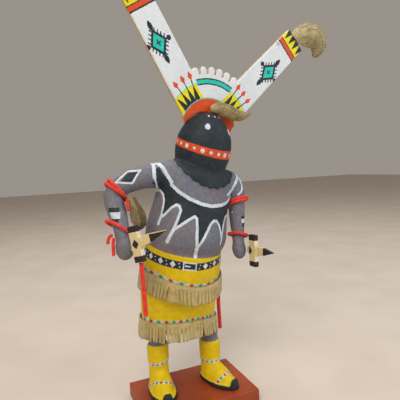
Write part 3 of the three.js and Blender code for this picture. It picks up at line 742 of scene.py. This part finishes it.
def crown_coats(obj):
    points = measured(corners(obj))
    local = (points - CROWN_AT) @ CROWN_TURN
    across, forward, up = local[:, 0], -local[:, 1], local[:, 2]
    side, a = np.sign(across), np.abs(across)
    along = a * math.sin(SLAT) + up * math.cos(SLAT)
    off = a * math.cos(SLAT) - up * math.sin(SLAT) - SLAT_OFFSET
    radius, tilt = np.hypot(a, up), np.degrees(np.arctan2(a, up))
    front = forward + 1.0

    sides = both(-0.7 - forward, forward + BOARD - 0.6)
    wood = both(sides, any_of(both(radius - 49, 31 - tilt), np.where(side > 0, -12.6 - off, off - 12.6)))
    root = both(29.6 - radius, front)
    stripe = both(2.6 - np.abs(along - 126.4), front)
    tip = both(along - 129, front)
    inner = (a - 9.4) * 0.743 - (up - 28.6) * 0.669
    fan = both(SPEAR_TOP - radius, radius - SPEAR_ROOT, inner, front)

    place, lean = (along - 92) / 11, (off - 2.5) / 7.7
    diamond = lozenge(along, off, (92, 2.5), 11, 7.7)
    band = both(2.1 - np.abs(radius - 45.6), (FAN_EDGE - tilt) * 0.8)
    heads, shafts = [], []
    for k, spear in enumerate(SPEARS):
        swing = (tilt - spear) * np.radians(1) * radius
        flare = 2.9 * np.clip((SPEAR_TOP + 0.6 - radius) / (SPEAR_TOP - SPEAR_ROOT), 0, 1) ** 0.85
        reach = 50 if k < 3 else SPEAR_TOP - 1
        shafts.append(both(np.maximum(flare, 0.55) - np.abs(swing), radius - SPEAR_ROOT, reach - radius))
        if k < 3:
            heads.append(lozenge(radius, swing, (53.6, 0), 4.7, 2.5))

    # The lozenge's dark rim, its ticks, and the leaves and dots at its corners.
    p, q = place + lean, place - lean
    rim = both(1.1 - np.abs(diamond), front)
    tick_at = (-0.78, -0.26, 0.26, 0.78)
    ticks = []
    for t in tick_at:
        ticks.append(both(0.62 - np.abs(q - t) * 6.3, (np.abs(p) - 0.95) * 6.7, (1.58 - np.abs(p)) * 6.7))
        ticks.append(both(0.62 - np.abs(p - t) * 6.3, (np.abs(q) - 0.95) * 6.7, (1.58 - np.abs(q)) * 6.7))
    leaf = np.abs(along - 92) - 15.2
    leaves = any_of(2.3 * (1 - (leaf / 5.2) ** 2) - np.abs(off - 2.5),
                    both(0.5 - np.abs(off - 2.5), leaf + 6, -leaf))
    leaves = both(leaves, 5.2 - np.abs(leaf))
    knobs = any_of(*[dot(along, off, (92 + 0.6 * s, 2.5 + 11.2 * s), 2.4) for s in (-1, 1)],
                   both(0.5 - np.abs(along - 92), 11 - np.abs(off - 2.5), np.abs(off - 2.5) - 7))
    bars = ([(89.4, 2.3), (94.6, 2.7)], [(92, 0.2), (92, 4.8)])
    cross = any_of(*[stroke(along, off, bar, 0.6) for bar in bars])
    teeth = []
    for k in range(4):
        middle = -10.2 + 6.9 * k
        teeth.append(both(3.4 * (along - 130.4) / 11.6 - np.abs(off - middle), along - 129.6))
    band_end = (FAN_EDGE - tilt) * 0.8
    lines = any_of(0.7 - np.abs(along - 123.8), 0.45 - np.abs(along - 129.1),
                   both(0.62 - np.abs(radius - 43.2), band_end), both(0.62 - np.abs(radius - 48), band_end))
    return {
        "wood": wood,
        "yellow": any_of(fan, tip),
        "orange": any_of(root, stripe, both(any_of(*heads), front)),
        "teal": both(any_of(diamond, band, both(0.45 - np.abs(radius - 30), -inner + 40)), front),
        "green": both(0.42 - np.abs(radius - 44.9), tilt - FAN_EDGE, front),
        "smudge": both(dot(along, off, (120.6, -11.3), 2.2), side * 5, front),
        "black": both(any_of(rim, *ticks, leaves, knobs, cross, *teeth, *shafts, lines), front),
    }


def painted_crown():
    obj = carved_again("crown_painted", "crown_board", 0.68, 2)
    edge_coats(obj, crown_coats, 0.6)
    # A cool white board, a little glossier than the body, with bright coats and bare wood on its edges.
    material = poster_paint(
        "white_gloss_paint_on_board",
        ("#dde9f0", "#d3e0ea", "#e6eef2"),
        [
            ("wood", "#d9c19a", "#c09c78"),
            ("yellow", "#efe800", "#e2da08"),
            ("orange", "#e0551c", "#d24a18"),
            ("teal", "#22cfbd", "#1cbfb2"),
            ("green", "#66dca0", "#7fdc9a"),
            ("smudge", "#93aed6", "#b4c6de"),
            ("black", "#14202c", "#22303c"),
        ],
        0.5,
    )
    return finish(obj, ["crown_board"], material)


# ---- Wands, block ----
def wand_coats(side):
    centre, turn, roll, _, shift = WANDS[side]
    axes = turn_matrix(math.radians(turn), "Z") @ turn_matrix(math.radians(roll), "Y")

    def coats(obj):
        x, y, z = ((measured(corners(obj)) - centre) @ axes).T
        bar = both(5.2 - np.abs(x), 2.7 - np.abs(y), np.abs(z) - 5.2)
        ends = both(np.abs(z) - 10.2, 5.4 - np.abs(x), 3 - np.abs(y))
        sharp = both(x - 14.4, 6 - np.abs(z))
        return {
            "white": both(x - 3.9, bar),
            "black": any_of(ends, sharp, both(lozenge(x, z, (shift, 0), 3.5, 4.3), -0.6 - y)),
        }

    return coats


def wand(side):
    obj = carved_again(f"wand_{side}_painted", f"wand_{side}", 0.42, 3)
    edge_coats(obj, wand_coats(side), 0.5, 9000)
    # Bare cream wood with dark ends, point and lozenge.
    material = poster_paint(
        f"ink_on_bare_pine_{side}",
        ("#d6c594", "#c9b27c", "#dccf9f"),
        [("white", "#ece9dc", "#ded6bd"), ("black", "#262024", "#33292b")],
        0.7,
    )
    return finish(obj, [f"wand_{side}"], material)


def block():
    low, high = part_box("base_block")
    bm = bmesh.new()
    bmesh.ops.create_cube(bm, size=1.0)
    bmesh.ops.scale(bm, vec=[b - a for a, b in zip(low, high)], verts=bm.verts)
    bmesh.ops.translate(bm, vec=[(a + b) / 2 for a, b in zip(low, high)], verts=bm.verts)
    bmesh.ops.bevel(bm, geom=list(bm.edges), offset=0.8 * MM, offset_type="OFFSET", affect="EDGES",
                    segments=3, profile=0.5, material=-1)
    mesh = bpy.data.meshes.new("block")
    bm.to_mesh(mesh)
    bm.free()
    # Warm red-brown paint, satin, clouded darker and lighter.
    material = stained_board("red_brown_paint_on_block", "#84361a", "#a2441c", "#b5531f", 0.5)
    obj = finish(new_object("block", mesh), ["base_block"], material)
    obj.data.polygons.foreach_set("use_smooth", [p.area < 1e-4 for p in obj.data.polygons])
    return obj


# ---- Suede fringes ----
FRINGE_OUT, FRINGE_FLARE, FRINGE_THICK = 1.3, 1.3, 1.1
UNCUT = 0.12  # the share of the drop that the slits leave whole


def kilt_wall(height):
    """Half width and the depths in front and behind at each height."""
    rows = np.array(KILT)
    return [np.interp(height, rows[:, 0], rows[:, k]) for k in (1, 2, 3)]


def fringe(name, node, top_line, drop, strands, partings):
    """A suede strip, slit into strands below its sewn edge, and drawn apart at each parting."""
    levels, per_strand = 9, 4
    bm = bmesh.new()
    bmesh.ops.create_grid(bm, x_segments=strands * per_strand, y_segments=levels, size=1.0)
    bm.verts.ensure_lookup_table()
    spots = np.array([v.co[:] for v in bm.verts])
    column = np.rint((spots[:, 0] + 1) / 2 * strands * per_strand).astype(int)
    level = np.rint((spots[:, 1] + 1) / 2 * levels).astype(int)
    slit = [f for f in bm.faces
            if min(column[v.index] for v in f.verts) % per_strand == 0
            and max(level[v.index] for v in f.verts) <= levels - 2]
    lift = np.array([dice.uniform(-0.6, 0.6) for _ in range(strands + 1)])
    sway = np.array([dice.uniform(-0.55, 0.55) for _ in range(strands + 1)])
    out = np.array([dice.uniform(-0.35, 0.35) for _ in range(strands + 1)])
    # Most slits are narrow and some gape.
    slit_half = [dice.uniform(0.07, 0.15) if dice.random() < 0.7 else 0.24 for _ in range(strands + 2)]
    slit_half = np.array(slit_half)
    strand = np.clip((column - 1) // per_strand, 0, strands - 1)
    down = 1 - level / levels
    # The two edges of a slit stand apart from its middle, the more so the lower they are.
    place = column / per_strand
    number, within = np.divmod(column, per_strand)
    opening = slit_half[number] * np.clip((down - UNCUT) / (1 - UNCUT), 0, 1)
    place = np.where(within == 0, number - opening, place)
    place = np.where(within == 1, number + 0.04 + opening, place)
    place += sway[strand] * down**1.5 * 0.5
    angle = -180 + 360 * place / strands
    radians = np.radians(angle)
    flat_front = np.degrees(np.arctan2(np.sin(radians) * 38, np.cos(radians) * 34))
    top = top_line(flat_front) - 1.35
    pull = np.zeros(len(angle))
    for at, half in partings:
        toward = wrap(angle - at)
        pull += np.sign(toward) * half * np.exp(-(toward / 16) ** 2) * down
    radians += np.radians(pull)
    height = top - (drop + lift[strand]) * down
    at_top = kilt_wall(np.minimum(top + 6, KILT[-1][0] - 0.5))
    side, front, back = (np.maximum(a, b) for a, b in zip(at_top, kilt_wall(height)))
    off = FRINGE_OUT + FRINGE_FLARE * down**0.8 + out[strand] * down
    depth = np.where(np.cos(radians) > 0, front, back)
    where = placed(bent(np.sin(radians) * (side + off), -np.cos(radians) * (depth + off), height))
    for v, spot in zip(bm.verts, where):
        v.co = spot
    bmesh.ops.delete(bm, geom=slit, context="FACES")
    bmesh.ops.remove_doubles(bm, verts=bm.verts, dist=1e-6)
    bmesh.ops.recalc_face_normals(bm, faces=bm.faces)
    mesh = bpy.data.meshes.new(name)
    bm.to_mesh(mesh)
    bm.free()
    obj = new_object(name, mesh)
    thick = obj.modifiers.new("thickness", "SOLIDIFY")
    thick.thickness, thick.offset = FRINGE_THICK * MM, 0.0
    # Dull tan suede, mottled finely.
    material = soft_fibre(f"{name}_tan_suede", "#8f7b48", "#c3b27a", 0.9, 0.95, 0.5)
    return finish(obj, [node], material)


# ---- Yarn and fur ----
def strands_mesh(name, routes, radii, rounding=0):
    """Strands in the doll's frame: routes are (points, closed) pairs, radii in mm along each."""
    curve = bpy.data.curves.new(name, "CURVE")
    curve.dimensions = "3D"
    curve.bevel_depth = MM
    curve.bevel_resolution = rounding
    curve.use_fill_caps = True
    for (route, closed), radius in zip(routes, radii):
        line = curve.splines.new("POLY")
        line.points.add(len(route) - 1)
        line.points.foreach_set("co", np.column_stack([placed(route), np.ones(len(route))]).ravel())
        line.points.foreach_set("radius", np.broadcast_to(np.asarray(radius, float), (len(route),)))
        line.use_cyclic_u = closed
        line.use_smooth = True
    return settled(new_object(name + "_lines", curve), name)


def carried_frames(route):
    """Two directions across a route that turn as little as can be."""
    ahead = unit(np.gradient(route, axis=0))
    side = np.empty_like(route)
    first = np.cross(ahead[0], (0.3, 0.2, 1.0))
    side[0] = unit(first)
    for i in range(1, len(route)):
        s = side[i - 1] - ahead[i] * (side[i - 1] @ ahead[i])
        side[i] = s / np.linalg.norm(s)
    return side, np.cross(ahead, side)


def plied(route, radius, closed=False, plies=3, lay=7.0):
    """The plies of a yarn laid round its route, each turning once in every `lay` mm."""
    route = np.asarray(route, float)
    step = np.linalg.norm(np.diff(route, axis=0), axis=1)
    far = np.concatenate([[0], np.cumsum(step)])
    turns = far / lay
    if closed:
        turns = np.linspace(0, round(far[-1] / lay), len(route), endpoint=False)
    side, other = carried_frames(route)
    for k in range(plies):
        swing = 2 * math.pi * (turns + k / plies)
        yield route + (np.cos(swing)[:, None] * side + np.sin(swing)[:, None] * other) * radius * 0.46, closed


def ring(rows, share, fall, loose):
    """A yarn ring round a limb, as the solid's: lower on the side that falls."""
    line = lambda at: through(rows, at)
    length = np.linalg.norm(np.diff(line(np.linspace(0, 1, 200))[0][:, :3], axis=0), axis=1).sum()

    def across(at):
        along = unit(line(at)[1][:, :3])
        side = unit(np.cross((0, -1, 0), along))
        return along, side, np.cross(along, side)

    turn = np.linspace(0, 2 * math.pi, 72, endpoint=False)
    _, side, other = across([share])
    outward = np.cos(turn)[:, None] * side + np.sin(turn)[:, None] * other
    at = share + outward @ np.array(fall) / length
    places, _ = line(at)
    _, side, other = across(at)
    outward = np.cos(turn)[:, None] * side + np.sin(turn)[:, None] * other
    return places[:, :3] + outward * ((places[:, 3] + YARN_CLEAR + YARN_RADIUS) * (1 + loose))[:, None]


def wool(name):
    """Bright scarlet wool, matt and fuzzy."""
    return soft_fibre(name, "#c22018", "#f2463a", 0.5, 0.95, 0.6)


def tie(name):
    rows, shares, fall, loose = TIES[name]
    rings = [ring(rows, share, fall, loose) for share in shares]
    routes = [ply for route in rings for ply in plied(route, YARN_RADIUS, closed=True)]
    obj = strands_mesh(f"{name}_wool", routes, [YARN_RADIUS * 0.58] * len(routes), 1)
    return finish(obj, [name], wool(f"{name}_scarlet_wool"))


def hanging_end(name, points, radius):
    route = through(points, np.linspace(0, 1, 60))[0]
    routes = list(plied(route, radius))
    obj = strands_mesh(f"{name}_wool", routes, [radius * 0.56] * len(routes), 2)
    finish(obj, [name], wool(f"{name}_scarlet_wool"))
    return obj, placed(route)


def fur(name, node, rows, count, thickness, dark, light, core=True):
    """A tuft: a soft core under fine curved hairs that run along it."""
    material = soft_fibre(f"{name}_hair", dark, light, 1.1, 1.0, 0.5)
    if core:
        finish(carved_again(f"{name}_core", node, 0.8, 60), [node], material)
    routes, radii = [], []
    rows = np.asarray(rows, float)
    for _ in range(count):
        start = dice.uniform(0.0, 0.82)
        end = min(start + dice.uniform(0.2, 0.4), 1.0)
        at = np.linspace(start, end, 7)
        line, slope = through(rows, at)
        along = unit(slope[:, :3])
        side = unit(np.cross(along, (0.2, -0.9, 0.3)))
        other = np.cross(along, side)
        swing = dice.uniform(0, 2 * math.pi) + np.linspace(0, dice.gauss(0, 0.35), 7)
        depth = dice.uniform(0.72, 1.0)
        lift = depth + np.linspace(-0.15, dice.uniform(-0.05, 0.2), 7)
        lift = lift + 0.05 * np.sin(np.linspace(0, dice.uniform(2, 7), 7))
        out = (np.cos(swing)[:, None] * side + np.sin(swing)[:, None] * other) * (line[:, 3] * lift)[:, None]
        routes.append((line[:, :3] + out, False))
        radii.append(thickness * dice.uniform(0.7, 1.2) * np.array([0.5, 0.9, 1, 1, 0.85, 0.55, 0.15]))
    hairs = strands_mesh(f"{name}_strands", routes, radii)
    finish(hairs, [node], material)
    return material


def slat_tuft(side):
    across = math.sin(SLAT) * SLAT_TIP + math.cos(SLAT) * SLAT_OFFSET
    up = math.cos(SLAT) * SLAT_TIP - math.sin(SLAT) * SLAT_OFFSET
    return [(*on_crown(side * (across + x), up + y, z - BOARD), r) for x, y, z, r in SLAT_TUFT]


# ---- The doll ----
carved_figure()
painted_crown()
wand("right")
wand("left")
block()
fringe("fringe_upper_suede", "fringe_upper", upper_line, 17.6, 66, [(-35, 5.0)])
fringe("fringe_lower_suede", "fringe_lower", lower_line, 17.0, 66, [])
for side, tuft in ((-1, "fur_slat_right"), (1, "fur_slat_left")):
    fur(tuft, tuft, slat_tuft(side), 1300, 0.15, "#8d8260", "#c4ba90")
fur("fur_head", "fur_head", HEAD_TUFT, 900, 0.14, "#85764f", "#bdae80")
# The elbow tuft's dark browns are painted shade, for where it hangs in shadow between the forearm and the
# body; the paler strands laid on its outer front side carry the fur's own tan.
fur("fur_elbow", "fur_elbow", ELBOW_TUFT, 700, 0.14, "#3d3222", "#7d6b48")
pale_side = [(x - 3.2, y - 2.6, z + 1, r * 0.62) for x, y, z, r in ELBOW_TUFT]
fur("fur_elbow_pale", "fur_elbow", pale_side, 420, 0.13, "#85785a", "#b3a57e", core=False)
for name in TIES:
    tie(name)
for name, points in TAILS.items():
    hanging_end(name, points, 1.5)
for name, points in HANGING.items():
    obj, path = hanging_end(name, points, 2.1)
    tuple(path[0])

# ---- Studio ----
bm = bmesh.new()
bmesh.ops.create_grid(bm, x_segments=1, y_segments=1, size=4.0)
mesh = bpy.data.meshes.new("floor")
bm.to_mesh(mesh)
bm.free()
floor = new_object("floor", mesh)
# A matt, pale, faintly clouded floor that takes soft shadows.
made, tree, shader = new_material("pale_studio_floor", 0.85, 0.2)
where = add(tree, "ShaderNodeTexCoord", {}).outputs["Object"]
clouds = mottle(tree, where, 90.0, 0.3, 0.7)
tree.links.new(blend(tree, clouds, "#c9beb2", "#d2c8bc"), shader.inputs["Base Color"])
floor.data.materials.append(made)


def softbox(name, place, target, size, power, tint):
    lamp = bpy.data.lights.new(name, "AREA")
    lamp.shape = "SQUARE"
    lamp.size = size
    lamp.energy = power
    lamp.color = colour(tint)[:3]
    obj = bpy.data.objects.new(name, lamp)
    scene.collection.objects.link(obj)
    away = Vector(place) - Vector(target)
    obj.rotation_euler = away.to_track_quat("Z", "Y").to_euler()
    obj.location = place


softbox("key", (-0.7, -0.9, 1.3), (0.0, 0.0, 0.2), 0.9, 17.5, "#fff4ea")
softbox("fill", (1.1, -0.8, 0.8), (0.0, 0.0, 0.2), 1.2, 8.5, "#eef3ff")
softbox("top", (0.1, 0.5, 1.5), (0.0, 0.0, 0.2), 1.0, 10.0, "#ffffff")
world = bpy.data.worlds.new("studio")
world.use_nodes = True
world.node_tree.nodes["Background"].inputs["Color"].default_value = colour("#c8c0b6")
world.node_tree.nodes["Background"].inputs["Strength"].default_value = 0.55
scene.world = world
scene.view_settings.view_transform = "Standard"
